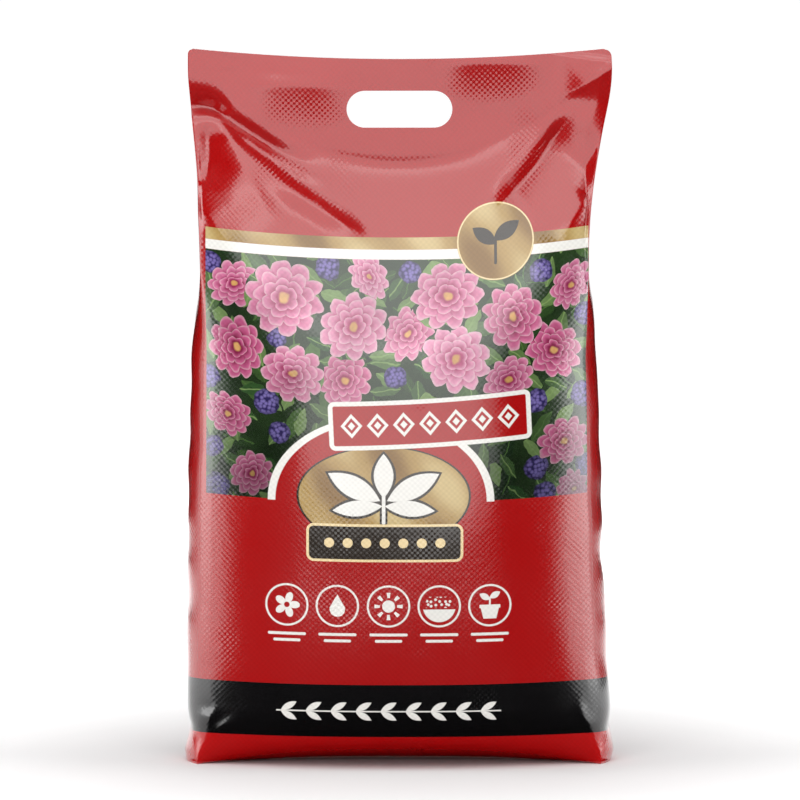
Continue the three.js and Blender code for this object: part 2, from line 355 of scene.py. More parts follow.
def as_one(z):
    """0 where front and back bend each by itself, 1 where the neck bends as one."""
    return smoothstep(z, APART_BELOW, AS_ONE_ABOVE)


def neck_relief(x, z):
    """How far the flat neck bends forward out of its plane."""
    wave = NECK_BEND * np.sin(x / 62 + 0.6) * np.cos((z - 600) / 41 + 0.4)
    wave += NECK_RIPPLE * np.sin(x / 33 - 1.1 + z / 90)
    return (fold_relief(NECK_FOLDS + SHOULDER_FOLDS, x, z) - wave) * as_one(z)


# A panel's folds are held back over these runs from the seal, the floor and the side folds,
# and its slow waves live between these heights.
SEAL_HOLD_FROM, SEAL_HOLD = SEAL_FOOT + 6.0, 12.0
FLOOR_HOLD = 8.0
SIDE_HOLD = 0.025
WAVES_FROM, WAVES_FULL = 40.0, 120.0
WAVES_END, WAVES_FADE = 10.0, 130.0


def panel_height(u, h):
    return h - panel_sag(h) * (1 - u * u)


def panel_depth(u, h, toe, shoulder_folds, foot_folds, waves):
    x = u * half_width(h)
    z = panel_height(u, h)
    crown = 1 - np.abs(u) ** PANEL_CROWN
    smooth = lerp(fold_depth(h), crown_depth(u, h, toe), crown)
    held = smoothstep(SEAL_HOLD_FROM - h, 0, SEAL_HOLD) * smoothstep(h, 0, FLOOR_HOLD)
    held = held * smoothstep(1 - np.abs(u), 0, SIDE_HOLD)
    loose = smoothstep(h, WAVES_FROM, WAVES_FULL) * smoothstep(NECK_FOOT - h, WAVES_END, WAVES_FADE)
    loose = loose * (1 - u * u)
    relief = fold_relief(shoulder_folds, x, z) * (1 - as_one(z)) + fold_relief(foot_folds, x, z)
    raised = smooth + relief * held + waves(x, z) * loose
    return np.where(h < BASE_ROUND, raised, np.maximum(raised, least_depth(x, h)))


def trimmed_width(h, radius):
    """Half width with the top corner rounded."""
    into = np.clip(h - (BAG_HEIGHT - radius), 0, radius)
    return half_width(h) - (radius - np.sqrt(radius**2 - into**2))


def panel_points(u, h, outward):
    width = np.where(u < 0, trimmed_width(h, LEFT_CORNER_RADIUS), trimmed_width(h, RIGHT_CORNER_RADIUS))
    x = u * width
    z = panel_height(u, h)
    front = panel_depth(u, h, FRONT_TOE, SHOULDER_FOLDS, FOOT_FOLDS, front_waves)
    if outward < 0:
        y = -front
    else:
        back = panel_depth(u, h, BACK_TOE, BACK_SHOULDER_FOLDS, BACK_FOOT_FOLDS, back_waves)
        y = np.where(h < BASE_ROUND, back, np.maximum(back, 2 * NECK_HALF - front))
    return np.stack([x, y - neck_relief(x, z), z], axis=-1)


# The crease that the folded gusset leaves down the middle of a side.
SIDE_CREASE_DEPTH = 2.6
SIDE_CREASE_WIDTH = 7.0
SIDE_CREASE_FROM, SIDE_CREASE_FULL = 10.0, 70.0
SIDE_WAVES_FROM = 0.4
SIDE_WAVES_APART = 400.0


def side_points(hand, along, h):
    radius = RIGHT_CORNER_RADIUS if hand > 0 else LEFT_CORNER_RADIUS
    out = turned_out(h)
    x = trimmed_width(h, radius) + crease_reach(h) * (1 - np.abs(along) ** (1 + out))
    middle = np.exp(-np.abs(along) * SIDE_TUCK / SIDE_CREASE_WIDTH)
    free = smoothstep(out, SIDE_WAVES_FROM, 1.0) * (1 - along**2)
    crease = SIDE_CREASE_DEPTH * middle * smoothstep(h, SIDE_CREASE_FROM, SIDE_CREASE_FULL)
    x = x + free * (side_waves(along * SIDE_TUCK + SIDE_WAVES_APART * hand, h) - crease)
    y = along * (fold_depth(h) - LEAF)
    z = panel_height(np.minimum(x / half_width(h), 1.0), h)
    return np.stack([hand * x, y - neck_relief(hand * x, z), h], axis=-1)


# Where the contents press the side folds round, and how far to either side of a fold that is felt.
ROUND_FROM, ROUND_FULL = 470.0, 380.0
ROUND_REACH = 16.0
ROUND_LEAST = 1e-3
ROUND_FLOOR_RUN = 30.0
ROUND_SHARE = 0.98


def rounded_fold(before, after, h):
    """Bends the end of one side and the start of the next into one curve about the fold between them."""
    reach = ROUND_REACH * smoothstep(h, ROUND_FROM, ROUND_FULL) * smoothstep(h, 0, ROUND_FLOOR_RUN)
    reach = reach + ROUND_LEAST
    fold = before[:, -1].copy()
    ways, ends = [], []
    for points, inward in ((before, slice(None, None, -1)), (after, slice(None))):
        row = points[:, inward]
        steps = np.linalg.norm(np.diff(row, axis=1), axis=2)
        away = np.concatenate([np.zeros((len(row), 1)), np.cumsum(steps, axis=1)], axis=1)
        ends.append(np.array([[np.interp(r, d, c) for c in p.T] for r, d, p in zip(reach, away, row)]))
        ways.append(away[:, inward])
    for points, away, near, far in ((before, ways[0], *ends), (after, ways[1], *ends[::-1])):
        t = (0.5 * ROUND_SHARE * clamp01(1 - away / reach[:, None]))[..., None]
        bent = (1 - t) ** 2 * near[:, None] + 2 * t * (1 - t) * fold[:, None] + t**2 * far[:, None]
        points[:] = np.where(t > 0, bent, points)


# How much fuller than the even bag each side stands, by height: the contents have slid to the left.
left_fuller = smooth_through(
    [(0, 1.5), (60, 4.0), (130, 6.5), (450, 7.0), (505, 5.0), (550, 0.5), (600, -1.4), (BAG_HEIGHT, -1.0)]
)
right_fuller = smooth_through(
    [
        (0, 0.5),
        (30, 3.0),
        (60, 4.0),
        (110, 1.0),
        (224, -0.5),
        (317, -0.5),
        (364, -2.2),
        (428, -1.0),
        (485, -3.8),
        (540, -5.4),
        (585, -4.3),
        (625, -1.0),
        (BAG_HEIGHT, -0.8),
    ]
)


def settled(points):
    """The points moved sideways as the contents have settled: most at the sides, the middle stays."""
    x, z = points[..., 0], points[..., 2]
    share = clamp01(np.abs(x) / half_width(z)) ** 2
    moved = points.copy()
    moved[..., 0] += np.where(x < 0, -left_fuller(z), right_fuller(z)) * share
    return moved


def stations(steps):
    """Places across a panel, closer together towards its folds."""
    t = np.linspace(-1, 1, steps + 1)
    return lerp(t, np.sin(t * math.pi / 2), 0.6)


# Where each side of the film starts along the map that the print is drawn on.
RIGHT_SIDE_AT = 2000.0
BACK_AT = 4000.0
LEFT_SIDE_AT = 6000.0


def bridge(lower, upper, xs):
    """Triangles between two rows of points that run the same way."""
    tris = []
    p = q = 0
    while p < len(lower) - 1 or q < len(upper) - 1:
        if q == len(upper) - 1 or (p < len(lower) - 1 and xs[lower[p + 1]] <= xs[upper[q + 1]]):
            tris.append((lower[p], lower[p + 1], upper[q]))
            p += 1
        else:
            tris.append((lower[p], upper[q + 1], upper[q]))
            q += 1
    return tris


def build_bag():
    heights = [np.linspace(a, b, int(round((b - a) / step)), endpoint=False) for a, b, step in LEVEL_BANDS]
    heights = np.concatenate(heights + [np.array([BAG_HEIGHT])])
    across = stations(FRONT_STEPS), stations(BACK_STEPS)[::-1]
    along = np.linspace(-1, 1, SIDE_STEPS + 1)

    def grid(row):
        return np.meshgrid(row, heights)

    (fu, fh), (bu, bh) = grid(across[0]), grid(across[1])
    (ra, rh), (la, lh) = grid(along), grid(along[::-1])
    parts = [
        settled(panel_points(fu, fh, -1)),
        settled(side_points(1, ra, rh)),
        settled(panel_points(bu, bh, 1)),
        settled(side_points(-1, la, lh)),
    ]
    flat_x = [part[..., 0].copy() for part in parts]
    for k in range(4):
        rounded_fold(parts[k], parts[(k + 1) % 4], heights)
    film = [
        np.stack([flat_x[0], fh], -1),
        np.stack([RIGHT_SIDE_AT + ra * SIDE_TUCK, rh], -1),
        np.stack([BACK_AT - flat_x[2], bh], -1),
        np.stack([LEFT_SIDE_AT - la * SIDE_TUCK, lh], -1),
    ]
    points = np.concatenate(parts, axis=1)
    film = np.concatenate(film, axis=1)
    levels, ring = points.shape[:2]

    lower = np.arange(levels - 1)[:, None] * ring
    i = np.arange(ring)[None, :]
    j = (i + 1) % ring
    quads = np.stack([lower + i, lower + j, lower + ring + j, lower + ring + i], -1).reshape(-1, 4)

    ends = np.cumsum([0] + [p.shape[1] for p in parts])
    xs = points.reshape(-1, 3)[:, 0]
    caps = []
    for base, flip in ((0, True), ((levels - 1) * ring, False)):
        front, right, back, left = (list(range(base + a, base + b)) for a, b in zip(ends, ends[1:]))
        back = back[::-1]
        tris = bridge(front, back, xs)
        for chain in ([front[-1]] + right + [back[-1]], [back[0]] + left + [front[0]]):
            tris += [(chain[0], chain[k], chain[k + 1]) for k in range(1, len(chain) - 1)]
        caps += [t[::-1] if flip else t for t in tris]

    mesh = bpy.data.meshes.new("bag_film")
    mesh.from_pydata((points.reshape(-1, 3) * MM).tolist(), [], quads.tolist() + caps)
    layer = mesh.uv_layers.new(name="film")
    corner = np.empty(len(mesh.loops), np.int32)
    mesh.loops.foreach_get("vertex_index", corner)
    layer.data.foreach_set("uv", (film.reshape(-1, 2) * MM)[corner].astype(np.float32).ravel())
    bag = bpy.data.objects.new("bag_film", mesh)
    bpy.context.scene.collection.objects.link(bag)
    return bag


def punch_hole(bag):
    """Cuts the hand hole through both layers of the neck."""
    radius, straight = HOLE_HEIGHT / 2, (HOLE_LENGTH - HOLE_HEIGHT) / 2
    turns = np.linspace(-math.pi / 2, math.pi / 2, HOLE_ARC_STEPS + 1)
    outline = [(straight + radius * math.cos(t), radius * math.sin(t)) for t in turns]
    outline += [(-straight - radius * math.cos(t), -radius * math.sin(t)) for t in turns]
    n = len(outline)
    verts = [(x * MM, y * MM, (HOLE_CENTRE + z) * MM) for y in (-HOLE_CUT, HOLE_CUT) for x, z in outline]
    faces = [list(range(n)), list(range(2 * n - 1, n - 1, -1))]
    faces += [(i, n + i, n + (i + 1) % n, (i + 1) % n) for i in range(n)]
    mesh = bpy.data.meshes.new("hole_punch")
    mesh.from_pydata(verts, [], faces)
    punch = bpy.data.objects.new("hole_punch", mesh)
    bpy.context.scene.collection.objects.link(punch)
    cut = bag.modifiers.new("hand_hole", "BOOLEAN")
    cut.operation = "DIFFERENCE"
    cut.solver = "EXACT"
    cut.object = punch
    cut_mesh = bpy.data.meshes.new_from_object(bag.evaluated_get(bpy.context.evaluated_depsgraph_get()))
    bag.modifiers.clear()
    bag.data = cut_mesh
    bpy.data.objects.remove(punch)


class Val:
    """A shader number, colour or vector that takes ordinary arithmetic."""

    tree = None

    def __init__(self, socket):
        self.socket = socket

    def __add__(self, other):
        return calc("ADD", self, other)

    def __sub__(self, other):
        return calc("SUBTRACT", self, other)

    def __rsub__(self, other):
        return calc("SUBTRACT", other, self)

    def __mul__(self, other):
        return calc("MULTIPLY", self, other)

    def __truediv__(self, other):
        return calc("DIVIDE", self, other)

    __radd__ = __add__
    __rmul__ = __mul__


def feed(socket, value):
    if isinstance(value, Val):
        Val.tree.links.new(value.socket, socket)
    else:
        socket.default_value = value


def calc(operation, *values, clamp=False):
    node = Val.tree.nodes.new("ShaderNodeMath")
    node.operation = operation
    node.use_clamp = clamp
    for socket, value in zip(node.inputs, values):
        feed(socket, value)
    return Val(node.outputs[0])


def vec(operation, *values, scale=None):
    node = Val.tree.nodes.new("ShaderNodeVectorMath")
    node.operation = operation
    for socket, value in zip(node.inputs, values):
        feed(socket, value)
    if scale is not None:
        feed(node.inputs["Scale"], scale)
    scalar = operation in ("LENGTH", "DISTANCE", "DOT_PRODUCT")
    return Val(node.outputs["Value" if scalar else "Vector"])


def turned(vector, angle):
    node = Val.tree.nodes.new("ShaderNodeVectorRotate")
    node.rotation_type = "Z_AXIS"
    feed(node.inputs["Vector"], vector)
    feed(node.inputs["Angle"], angle)
    return Val(node.outputs[0])


def split(vector):
    node = Val.tree.nodes.new("ShaderNodeSeparateXYZ")
    feed(node.inputs[0], vector)
    return Val(node.outputs[0]), Val(node.outputs[1]), Val(node.outputs[2])


def join(x, y, z=0.0):
    node = Val.tree.nodes.new("ShaderNodeCombineXYZ")
    for socket, value in zip(node.inputs, (x, y, z)):
        feed(socket, value)
    return Val(node.outputs[0])


# Sockets of the Mix node for each kind of value: its first input and its output.
MIX_SOCKETS = {"FLOAT": (2, 0), "VECTOR": (4, 1), "RGBA": (6, 2)}


def blend(factor, a, b, kind="RGBA", how="MIX"):
    node = Val.tree.nodes.new("ShaderNodeMix")
    node.data_type = kind
    if kind == "RGBA":
        node.blend_type = how
    first, out = MIX_SOCKETS[kind]
    feed(node.inputs[0], factor)
    feed(node.inputs[first], a)
    feed(node.inputs[first + 1], b)
    return Val(node.outputs[out])


def ramp(value, low, high):
    """0 at low, 1 at high, eased in between; low may be the larger."""
    node = Val.tree.nodes.new("ShaderNodeMapRange")
    node.interpolation_type = "SMOOTHSTEP"
    for name, given in (("Value", value), ("From Min", low), ("From Max", high)):
        feed(node.inputs[name], given)
    return Val(node.outputs[0])


def voronoi(vector, cell, randomness=1.0):
    node = Val.tree.nodes.new("ShaderNodeTexVoronoi")
    node.voronoi_dimensions = "2D"
    feed(node.inputs["Vector"], vector)
    feed(node.inputs["Scale"], 1.0 / cell)
    feed(node.inputs["Randomness"], randomness)
    return [Val(node.outputs[name]) for name in ("Distance", "Color", "Position")]


def noise(vector, cell, detail=2.0):
    node = Val.tree.nodes.new("ShaderNodeTexNoise")
    feed(node.inputs["Vector"], vector)
    feed(node.inputs["Scale"], 1.0 / cell)
    feed(node.inputs["Detail"], detail)
    return Val(node.outputs[0])


def rgb(red, green, blue):
    """A colour given as it looks on a screen, 0 to 255."""

    def linear(c):
        c /= 255.0
        return c / 12.92 if c <= 0.04045 else ((c + 0.055) / 1.055) ** 2.4

    return (linear(red), linear(green), linear(blue), 1.0)


# Outlines of printed shapes are distances in millimetres, negative inside; EDGE is how softly ink ends.
EDGE = 0.5


def inside(distance):
    return calc("MULTIPLY_ADD", distance, -1.0 / EDGE, 0.5, clamp=True)


def placed(p, centre, angle=0.0):
    q = vec("SUBTRACT", p, (*centre, 0))
    return turned(q, -angle) if angle else q


def circle(p, centre, radius):
    return vec("DISTANCE", p, (*centre, 0)) - radius


def round_box(q, half_x, half_y, radius):
    over = vec("SUBTRACT", vec("ABSOLUTE", q), (half_x - radius, half_y - radius, 0))
    return vec("LENGTH", vec("MAXIMUM", over, (0, 0, 0))) - radius


def oval(q, half_x, half_y):
    return (vec("LENGTH", vec("DIVIDE", q, (half_x, half_y, 1))) - 1.0) * min(half_x, half_y)


def leaf(q, half_length, half_width):
    x, y, _ = split(vec("DIVIDE", q, (half_length, half_width, 1)))
    return (calc("MULTIPLY_ADD", x, x, calc("ABSOLUTE", y)) - 1.0) * (half_width * 0.8)


def lozenge(q, half_x, half_y):
    x, y, _ = split(vec("ABSOLUTE", vec("DIVIDE", q, (half_x, half_y, 1))))
    return (x + y - 1.0) * (half_x * half_y / math.hypot(half_x, half_y))


def repeated(q, pitch):
    """The same shape again and again to the right and left, the first one at the origin."""
    x, y, _ = split(q)
    return join(calc("WRAP", x, 0.5 * pitch, -0.5 * pitch), y)


def both(a, b):
    return calc("MAXIMUM", a, b)


def either(*distances):
    total = distances[0]
    for distance in distances[1:]:
        total = calc("MINIMUM", total, distance)
    return total


# Inks of the print.
RED = rgb(165, 4, 5)
# painted light: the red below the band is lighter than the rest, to make up for the shade where the foot
# turns under
FOOT_RED_PAINTED_LIGHT = rgb(186, 5, 7)
BLACK = rgb(9, 8, 9)
WHITE = rgb(238, 236, 230)
CREAM = rgb(240, 216, 166)
INK = rgb(40, 32, 24)
GOLD_DARK = rgb(126, 90, 30)
GOLD_MIDDLE = rgb(172, 140, 80)
GOLD_LIGHT = rgb(202, 178, 124)

# Layout of the print in millimetres: right of the front's middle, and up the film from the floor.
BAND_LOW, BAND_HIGH = 30.0, 80.0
PICTURE = (-179.0, 174.5, 253.5, 479.5)
WHITE_BAND = 9.0
GOLD_BAND = 11.0
BADGE = (88.5, 494.0)
BADGE_RADIUS = 35.5
ARCH = (-17.0, 253.5)
ARCH_HALF = (104.0, 82.0)
ARCH_RIM = 5.5
PLATE = (28.0, 328.5)
PLATE_HALF = (93.0, 23.0)
PLATE_TILT = math.radians(2.6)
PLATE_RIM = 4.2
OVAL = (-14.5, 258.5)
OVAL_HALF = (78.0, 47.0)
BAR = (-13.5, 214.5)
BAR_HALF = (72.0, 18.0)
ICONS = (-103.5, -57.0, -10.0, 36.5, 83.0)
ICON_HEIGHT = 154.5
ICON_RADIUS = 19.0
BAND_ROW = (-10.0, 55.0)
BACK_PANEL = (BACK_AT, 300.0)
BACK_PANEL_HALF = (126.0, 112.0)
BACK_PANEL_RIM = 2.2
BACK_MARKS = (BACK_AT - 74.0, BACK_AT, BACK_AT + 74.0)
BACK_MARK_HEIGHT = 372.0
BACK_COLUMN = 59.0
BACK_BAR_HALF = (49.0, 1.7)
BACK_BAR_PITCH = 13.0
BACK_BARS_LOW, BACK_BARS_HIGH = 202.0, 319.0

# Inks of the picture; between the two of a pair it shades.
PINK_PALE = rgb(250, 176, 208), rgb(220, 104, 154)
PINK_FULL = rgb(196, 68, 124), rgb(134, 22, 68)
HEART = rgb(226, 172, 104)
GROUND = rgb(8, 20, 8), rgb(46, 74, 34)
BACK_LEAF = rgb(18, 44, 18), rgb(78, 112, 54)
FRONT_LEAF = rgb(38, 76, 34), rgb(134, 164, 98)
VIOLET = rgb(136, 120, 194), rgb(46, 36, 96)
VIOLET_RIM = rgb(30, 24, 66)
# The picture grows darker from its middle down to its foot.
SHADE_FOOT, SHADE_TOP = 240.0, 390.0
SHADE = (0.36, 0.38, 0.38, 1)

# Blossoms of the picture, from back to front: right, up, radius, depth of pink, turn, squash.
BLOSSOMS = [
    (-152, 450, 26, 0.70, 0.4, 0.80),
    (-28, 464, 24, 0.15, 2.0, 0.72),
    (158, 448, 24, 0.70, 1.1, 0.75),
    (8, 412, 27, 0.55, 0.9, 0.85),
    (152, 304, 25, 0.95, 0.2, 0.90),
    (-158, 330, 24, 0.90, 2.6, 0.80),
    (-150, 392, 30, 1.00, 1.7, 0.85),
    (142, 390, 30, 0.95, 2.3, 0.80),
    (-50, 368, 27, 0.70, 1.2, 0.90),
    (-106, 441, 37, 0.50, 0.1, 0.95),
    (-98, 372, 30, 0.50, 2.9, 0.90),
    (100, 366, 25, 0.60, 0.6, 0.85),
    (-42, 418, 33, 0.30, 0.7, 0.92),
    (104, 424, 31, 0.80, 1.9, 0.90),
    (52, 388, 33, 0.15, 2.4, 0.95),
    (44, 446, 34, 0.45, 0.3, 0.90),
    (-136, 276, 22, 0.80, 0.8, 0.90),
    (160, 258, 20, 0.85, 1.5, 0.80),
]
# Rings of petals in a blossom, from the outside in: size and number of petals.
PETAL_RINGS = ((1.0, 10), (0.78, 9), (0.56, 7), (0.34, 5))
# Violet globes: right, up, radius.
GLOBES = [
    (-174, 468, 10),
    (-66, 471, 11),
    (10, 468, 10),
    (130, 464, 11),
    (172, 420, 11),
    (-176, 362, 11),
    (-122, 344, 12),
    (-4, 372, 11),
    (126, 344, 11),
    (170, 346, 12),
    (-172, 298, 10),
    (-110, 316, 10),
    (-168, 262, 12),
    (126, 282, 11),
    (172, 280, 10),
    (134, 258, 10),
    (-112, 404, 9),
]


def leaves(p, colour, cell, half_length, half_width, dark, light):
    """Scattered leaves, one to a cell, each at its own angle and in its own green, with a pale rib."""
    _, tint, seat = voronoi(p, cell)
    red, green, _ = split(tint)
    q = turned(vec("SUBTRACT", p, seat), red * (2 * math.pi))
    _, across, _ = split(q)
    own = blend(green, dark, light)
    own = blend(ramp(calc("ABSOLUTE", across), 0.9, 0.2), own, light)
    return blend(inside(leaf(q, half_length, half_width)), colour, own)


def blossom_colour(q, deep, colour):
    """One blossom of overlapping petals; q has length 1 at the tips, and the colour shows between them."""
    x, y, _ = split(q)
    reach = vec("LENGTH", q)
    angle = calc("ARCTAN2", y, x)
    pale = blend(deep, *PINK_PALE)
    full = blend(deep, *PINK_FULL)
    for ring, (size, petals) in enumerate(PETAL_RINGS):
        part = calc("FRACT", angle * (petals / (2 * math.pi)) + (0.37 * ring + 5.0)) - 0.5
        off = calc("ABSOLUTE", part)
        share = reach / ((1.0 - calc("MULTIPLY", off, off) * 0.85) * size)
        petal = blend(ramp(share, 0.5, 1.0), full, pale)
        petal = blend(ramp(off, 0.36, 0.5) * 0.55, petal, full)
        petal = blend(ramp(share, 0.88, 1.0) * 0.35, petal, WHITE)
        colour = blend(calc("LESS_THAN", share, 1.0), colour, petal)
    return blend(ramp(reach, 0.16, 0.08), colour, HEART)


def flower_picture(p):
    """A bed of pink blossoms and violet globes among leaves."""
    drift = join(noise(p, 11.0, 1.0) - 0.5, noise(vec("ADD", p, (40, 9, 0)), 11.0, 1.0) - 0.5)
    warped = vec("ADD", p, vec("SCALE", drift, scale=6.0))
    colour = blend(noise(p, 33.0), *GROUND)
    colour = leaves(warped, colour, 30.0, 17.0, 6.5, *BACK_LEAF)
    shifted = vec("ADD", warped, (13, 31, 0))
    colour = leaves(shifted, colour, 24.0, 14.0, 5.5, *FRONT_LEAF)

    fleck, _, _ = voronoi(p, 3.4)
    globes = either(*(circle(warped, (x, y), radius) for x, y, radius in GLOBES))
    violet = blend(ramp(fleck, 0.15, 0.75), *VIOLET)
    violet = blend(ramp(globes, -5.0, 0.0) * 0.6, violet, VIOLET_RIM)
    colour = blend(inside(globes), colour, violet)

    # the blossom in front is chosen first, so that petals are worked out only once
    q, deep = (2.0, 0.0, 0.0), 0.0
    for x, y, radius, tone, angle, squash in BLOSSOMS:
        local = vec("DIVIDE", placed(warped, (x, y), angle), (radius, radius * squash, 1))
        chosen = calc("LESS_THAN", vec("LENGTH", local), 1.0)
        q = blend(chosen, q, local, "VECTOR")
        deep = blend(chosen, deep, tone, "FLOAT")
    colour = blossom_colour(q, deep, colour)
    mottle = blend(noise(p, 4.5), (0.72, 0.72, 0.72, 1), (1.2, 1.2, 1.2, 1))
    colour = blend(1.0, colour, mottle, how="MULTIPLY")
    light = blend(noise(vec("ADD", p, (7, 70, 0)), 60.0, 1.0), (0.5, 0.52, 0.5, 1), (1.1, 1.08, 1.08, 1))
    colour = blend(1.0, colour, light, how="MULTIPLY")
    _, up, _ = split(p)
    shade = blend(ramp(up, SHADE_FOOT, SHADE_TOP), SHADE, (1, 1, 1, 1))
    return blend(1.0, colour, shade, how="MULTIPLY")


def blossom_mark(q, reach, u, v):
    petals = calc("ABSOLUTE", calc("COSINE", calc("ARCTAN2", v, u) * 2.5)) * 7.5 + 4.5
    return both(reach - petals, 2.6 - reach)


def drop_mark(q, reach, u, v):
    point = both(calc("ABSOLUTE", u) * 0.87 + v * 0.5 - 5.4, -2.0 - v)
    return either(point, circle(q, (0, -3.2), 7.0))


def sun_mark(q, reach, u, v):
    rays = calc("COSINE", calc("ARCTAN2", v, u) * 8.0)
    return either(reach - 5.8, both(both(reach - 13.0, 8.0 - reach), (0.45 - rays) * 4.0))


def soil_mark(q, reach, u, v):
    grain, _, _ = voronoi(q, 4.2, 0.6)
    grains = both(both((grain - 0.3) * 4.0, v - 9.0), both(-1.5 - v, reach - 13.0))
    return either(both(reach - 15.0, v + 3.0), grains)


def pot_mark(q, reach, u, v):
    pot = both(calc("ABSOLUTE", u) - (v * 0.25 + 9.0), both(v + 1.5, -12.5 - v))
    rim = round_box(placed(q, (0, -1.0)), 9.6, 1.6, 0.6)
    stem = both(calc("ABSOLUTE", u) - 0.8, both(v - 8.0, -1.0 - v))
    first = leaf(placed(q, (-4.6, 8.2), math.radians(150)), 5.6, 2.9)
    second = leaf(placed(q, (4.6, 9.6), math.radians(30)), 5.6, 2.9)
    return either(pot, rim, stem, first, second)


ICON_MARKS = (blossom_mark, drop_mark, sun_mark, soil_mark, pot_mark)


def print_marks(p, colour, marks, places, height):
    """Ringed marks in a row, each over two plain bars."""
    row = placed(p, (0, height))
    for mark, x in zip(marks, places):
        q = placed(row, (x, 0))
        u, v, _ = split(q)
        reach = vec("LENGTH", q)
        rim = calc("ABSOLUTE", reach - ICON_RADIUS) - 0.9
        upper = round_box(placed(q, (0, -27.0)), 17.5, 1.3, 1.2)
        lower = round_box(placed(q, (0, -33.0)), 12.5, 1.3, 1.2)
        colour = blend(inside(either(rim, mark(q, reach, u, v), upper, lower)), colour, WHITE)
    return colour


def print_back(p, colour):
    """A framed panel with three marks over two columns of plain bars."""
    q = placed(p, BACK_PANEL)
    x, _, _ = split(q)
    panel = round_box(q, *BACK_PANEL_HALF, 10)
    _, v, _ = split(p)
    row = calc("WRAP", v - BACK_BARS_LOW, 0.5 * BACK_BAR_PITCH, -0.5 * BACK_BAR_PITCH)
    bars = round_box(join(calc("ABSOLUTE", x) - BACK_COLUMN, row), *BACK_BAR_HALF, 1.6)
    half_pitch = 0.5 * BACK_BAR_PITCH
    bars = both(bars, both(v - (BACK_BARS_HIGH + half_pitch), (BACK_BARS_LOW - half_pitch) - v))
    colour = blend(inside(either(both(panel, -BACK_PANEL_RIM - panel), bars)), colour, WHITE)
    return print_marks(p, colour, (drop_mark, sun_mark, pot_mark), BACK_MARKS, BACK_MARK_HEIGHT)


def print_badge(p, colour, gold):
    """A gold disc with a sprout."""
    badge = circle(p, BADGE, BADGE_RADIUS)
    colour = blend(inside(badge), colour, gold)
    colour = blend(inside(calc("ABSOLUTE", badge + 0.8) - 0.6), colour, CREAM)
    q = placed(p, BADGE)
    sprout = either(
        round_box(placed(q, (0, -9)), 1.3, 12, 1.2),
        leaf(placed(q, (-10, 5), math.radians(145)), 13.5, 6.5),
        leaf(placed(q, (10, 9), math.radians(35)), 14.5, 7.0),
    )
    return blend(inside(sprout), colour, INK)


def print_arch(p, colour):
    """A red arch with a pale rim, open below."""
    q = placed(p, ARCH)
    _, up, _ = split(q)
    arch = oval(q, *ARCH_HALF)
    colour = blend(inside(both(arch, -1.0 - up)), colour, WHITE)
    return blend(inside(both(arch + ARCH_RIM, -9.0 - up)), colour, RED)


def print_oval(p, colour, gold):
    """A gold oval with a pale sprig."""
    q = placed(p, OVAL)
    plate = oval(q, *OVAL_HALF)
    colour = blend(inside(plate - 1.2), colour, INK)
    colour = blend(inside(plate), colour, gold)
    sprig = either(
        leaf(placed(q, (0, 20), math.pi / 2), 21, 9),
        leaf(placed(q, (-27, 9), math.radians(152)), 27, 10),
        leaf(placed(q, (27, 9), math.radians(28)), 27, 10),
        leaf(placed(q, (-24, -11), math.radians(186)), 23, 7.5),
        leaf(placed(q, (24, -11), math.radians(-6)), 23, 7.5),
        round_box(placed(q, (0, -9)), 1.6, 17, 1.4),
    )
    colour = blend(inside(sprig - 2.0), colour, INK)
    return blend(inside(sprig), colour, WHITE)


def print_plate(p, colour):
    """A tilted red plate with a pale rim and a row of lozenges."""
    q = placed(p, PLATE, PLATE_TILT)
    across, _, _ = split(q)
    plate = round_box(q, *PLATE_HALF, 6)
    colour = blend(inside(plate), colour, WHITE)
    colour = blend(inside(plate + PLATE_RIM), colour, RED)
    figure = lozenge(repeated(q, 24.0), 10.0, 11.5)
    row = both(both(figure, -2.6 - figure), calc("ABSOLUTE", across) - 84.0)
    row = either(row, both(figure + 5.0, calc("ABSOLUTE", across) - 84.0))
    return blend(inside(row), colour, WHITE)


def print_bar(p, colour):
    """A dark bar with a pale rim and a row of dots."""
    q = placed(p, BAR)
    across, _, _ = split(q)
    bar = round_box(q, *BAR_HALF, 7)
    colour = blend(inside(bar), colour, CREAM)
    colour = blend(inside(bar + 2.4), colour, INK)
    dots = both(calc("ABSOLUTE", across) - 59.0, vec("LENGTH", repeated(q, 17.0)) - 4.6)
    return blend(inside(dots), colour, CREAM)


def print_band_row(p, colour):
    """A twig of paired leaves along the dark band."""
    q = placed(p, BAND_ROW)
    across, _, _ = split(q)
    x, y, _ = split(repeated(q, 23.0))
    twig = either(
        leaf(turned(join(x, y - 4.4), -0.5), 8.2, 2.9),
        leaf(turned(join(x, y + 4.4), 0.5), 8.2, 2.9),
        calc("ABSOLUTE", y) - 0.6,
    )
    return blend(inside(both(twig, calc("ABSOLUTE", across) - 103.5)), colour, WHITE)


def gold_ink(p):
    """Gold that shades in slanting streaks."""
    u, v, _ = split(p)
    broad = calc("SINE", u * 0.033 - v * 0.05 + 1.0)
    fine = calc("SINE", u * 0.088 + v * 0.062)
    shade = broad * 0.2 + fine * 0.3 + 0.5
    gold = blend(ramp(shade, 0.0, 0.55), GOLD_DARK, GOLD_MIDDLE)
    return blend(ramp(shade, 0.5, 1.0), gold, GOLD_LIGHT)


